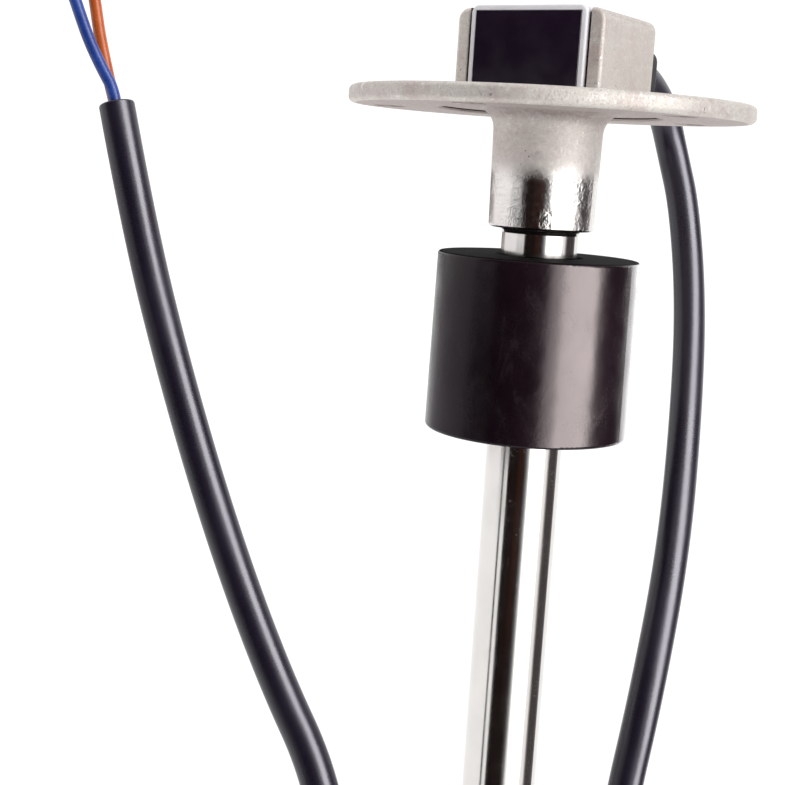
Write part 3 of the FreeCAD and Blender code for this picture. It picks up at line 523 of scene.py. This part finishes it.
STEEL, POLISH = cast_steel(), polished_steel()
FOAM, JACKET, TIN = float_foam(), jacket(), tinned()
BLUE_SKIN = insulation("blue_insulation", (0.010, 0.034, 0.200), (0.016, 0.052, 0.255))
ORANGE_SKIN = insulation("orange_insulation", (0.36, 0.062, 0.006), (0.44, 0.088, 0.011))
dress = {
    "flange_head": STEEL, "stem_tube": POLISH, "stem_end_plug": polished_steel("plug_steel", 0.14, 0.24),
    "retaining_ring": spring_steel(), "stop_washer": polished_steel("washer_steel", 0.12, 0.22),
    "float_body": FOAM, "float_plug_ring": FOAM, "float_magnet": moulded("magnet_ferrite", (0.030, 0.030, 0.032), (0.050, 0.050, 0.052)),
    "head_cover": pale_plastic(), "nameplate": black_panel(), "cable_grommet": rubber(),
    "cable": JACKET, "wire_blue": BLUE_SKIN, "wire_orange": ORANGE_SKIN, "wire_tips": TIN,
    "lead_blue_inner": BLUE_SKIN, "lead_orange_inner": ORANGE_SKIN, "potting": moulded("potting_resin", (0.012, 0.012, 0.013), (0.022, 0.022, 0.022), 0.25, 0.4),
    "board_sleeve": moulded("sleeve_film", (0.05, 0.05, 0.05), (0.08, 0.08, 0.08)),
    "reed_board": moulded("circuit_board", (0.015, 0.12, 0.045), (0.025, 0.17, 0.065), 0.3, 0.42),
    "reed_glass": reed_tube(), "reed_leads": TIN, "chip_resistors": moulded("chip_ceramic", (0.02, 0.02, 0.02), (0.05, 0.05, 0.05)),
}
for node, mat in dress.items():
    wear(nodes[node], mat)
for obj, mat in ((cable, JACKET), (blue, BLUE_SKIN), (orange, ORANGE_SKIN), (tip_blue, TIN), (tip_orange, TIN)):
    wear(obj, mat)


# -------------------------------------------------------------- stage, light
def plain(name, colour, rough=0.8, glow=0.0):
    m = Tree(name)
    soft = m.noise(0.004, 2, 0.5)
    tint = m.mix(m.span(soft, 0.3, 0.7), colour, tuple(c * 0.98 for c in colour))
    return m.set(color=tint, rough=rough, glow_color=(1.0, 1.0, 1.0), glow=glow)


def sheet(name, corners, mat):
    mesh = bpy.data.meshes.new(name)
    mesh.from_pydata([tuple(c) for c in corners], [], [tuple(range(len(corners)))])
    mesh.materials.append(mat)
    obj = bpy.data.objects.new(name, mesh)
    scene.collection.objects.link(obj)
    return obj


FLOOR_Z = -0.26
floor = sheet("floor", [(-20, -20, FLOOR_Z), (20, -20, FLOOR_Z), (20, 20, FLOOR_Z), (-20, 20, FLOOR_Z)], plain("floor_paper", (0.16, 0.16, 0.16), glow=0.88))
floor.visible_glossy = False

world = bpy.data.worlds.new("studio")
scene.world = world
world.use_nodes = True
world.node_tree.nodes["Background"].inputs["Color"].default_value = (1.0, 1.0, 1.0, 1.0)
world.node_tree.nodes["Background"].inputs["Strength"].default_value = 1.1

CAM_AZ = math.degrees(math.atan2(eye.x, -eye.y))


def bearing(az, radius, z):
    """A point at an azimuth measured from the camera's own, round the stem."""
    a = math.radians(CAM_AZ + az)
    return Vector((math.sin(a) * radius, -math.cos(a) * radius, z))


def flag(name, az0, az1, radius, z0, z1, shade):
    """A curved dark card, as a photographer hangs beside the lens; the lens itself doesn't see it."""
    mat = bpy.data.materials.new(name)
    mat.use_nodes = True
    bsdf = mat.node_tree.nodes["Principled BSDF"]
    bsdf.inputs["Base Color"].default_value = (*shade, 1.0)
    bsdf.inputs["Roughness"].default_value = 1.0
    bsdf.inputs["Specular IOR Level"].default_value = 0.0
    steps = max(2, int(abs(az1 - az0) / 3))
    low = [bearing(az0 + (az1 - az0) * i / steps, radius, z0) for i in range(steps + 1)]
    high = [bearing(az0 + (az1 - az0) * i / steps, radius, z1) for i in range(steps + 1)]
    mesh = bpy.data.meshes.new(name)
    mesh.from_pydata([tuple(p) for p in low + high], [], [(i, i + 1, steps + 2 + i, steps + 1 + i) for i in range(steps)])
    mesh.materials.append(mat)
    obj = bpy.data.objects.new(name, mesh)
    scene.collection.objects.link(obj)
    obj.visible_camera = False
    return obj


DARK, WARM = (0.012, 0.0075, 0.0070), (0.034, 0.0125, 0.0075)
flag("flag_front", -45, -13, 1.0, -1.2, 1.2, DARK)
flag("flag_front_warm", -13, 2, 1.0, -0.42, 1.2, WARM)
flag("flag_front_low", -13, 2, 1.0, -1.2, -0.42, DARK)
flag("flag_front_end", 2, 8, 1.0, -1.2, 1.2, (0.02, 0.016, 0.018))
flag("flag_front_pale", 8, 13, 1.0, -1.2, 1.2, (0.12, 0.115, 0.12))
flag("flag_front_rim", 13, 17, 1.0, -1.2, 1.2, (0.40, 0.40, 0.40))
flag("flag_front_high", -68, -45, 1.0, 0.035, 1.0, DARK)
flag("flag_front_step", -47, -45, 1.0, -0.085, 0.035, DARK)
flag("flag_front_mid", -73, -45, 0.97, -0.25, -0.085, (0.03, 0.025, 0.028))
flag("flag_left_mid", -135, -73, 0.97, -0.24, -0.085, (0.86, 0.775, 0.83)).visible_diffuse = False
flag("flag_back_left", -176, -130, 1.0, -0.085, 0.03, (0.36, 0.325, 0.32)).visible_diffuse = False
flag("flag_edge", -63, -57, 1.0, -1.2, -0.25, (0.035, 0.031, 0.029))
for near, far, shade in ((82, 85, 0.55), (85, 88, 0.28), (88, 118, 0.070), (118, 122, 0.22), (122, 126, 0.48)):
    flag("flag_side_%d" % near, near, far, 1.0, -1.2, 1.2, (shade, shade * 0.90, shade * 0.91))


def softbox(name, az, radius, z, width, height, radiance, lit, colour=(1.0, 1.0, 1.0)):
    data = bpy.data.lights.new(name, "AREA")
    data.shape = "RECTANGLE"
    data.size, data.size_y = width, height
    data.energy = radiance * width * height * math.pi
    data.color = colour
    obj = bpy.data.objects.new(name, data)
    obj.location = bearing(az, radius, z)
    obj.rotation_mode = "QUATERNION"
    obj.rotation_quaternion = (Vector((0, 0, -0.03)) - obj.location).to_track_quat("-Z", "Y")
    obj.visible_camera = False
    scene.collection.objects.link(obj)
    group = bpy.data.collections.new(name + "_lit")
    for piece in lit:
        group.objects.link(piece)
    obj.light_linking.receiver_collection = group
    return obj


foam = [nodes["float_body"], nodes["float_plug_ring"]]
metal = [nodes[n] for n in ("flange_head", "stem_tube", "stem_end_plug", "retaining_ring", "stop_washer", "head_cover")] + [tip_blue, tip_orange]
black = [nodes[n] for n in dress if nodes[n] not in metal + foam] + [cable]
softbox("softbox_metal", 45, 0.7, 0.1, 0.66, 1.2, 2.0, metal)
softbox("softbox_black", 60, 0.7, 0.2, 0.48, 1.4, 11.0, black)
softbox("softbox_wires", 60, 0.7, 0.2, 0.48, 1.4, 4.2, [blue, orange])
softbox("softbox_foam", 51.5, 0.7, 0.0, 0.55, 1.2, 22.0, foam, (1.0, 0.975, 0.90))
softbox("softbox_foam_side", 23, 0.7, 0.0, 0.18, 1.2, 6.2, foam, (1.0, 0.975, 0.92))
softbox("softbox_foam_rim", 146, 0.7, 0.0, 0.40, 0.9, 3.0, foam)
# the lead hangs close to the stem only in this lay of it: it isn't mirrored there
cable.visible_glossy = False

scene.view_settings.view_transform = "Standard"
scene.view_settings.look = "None"
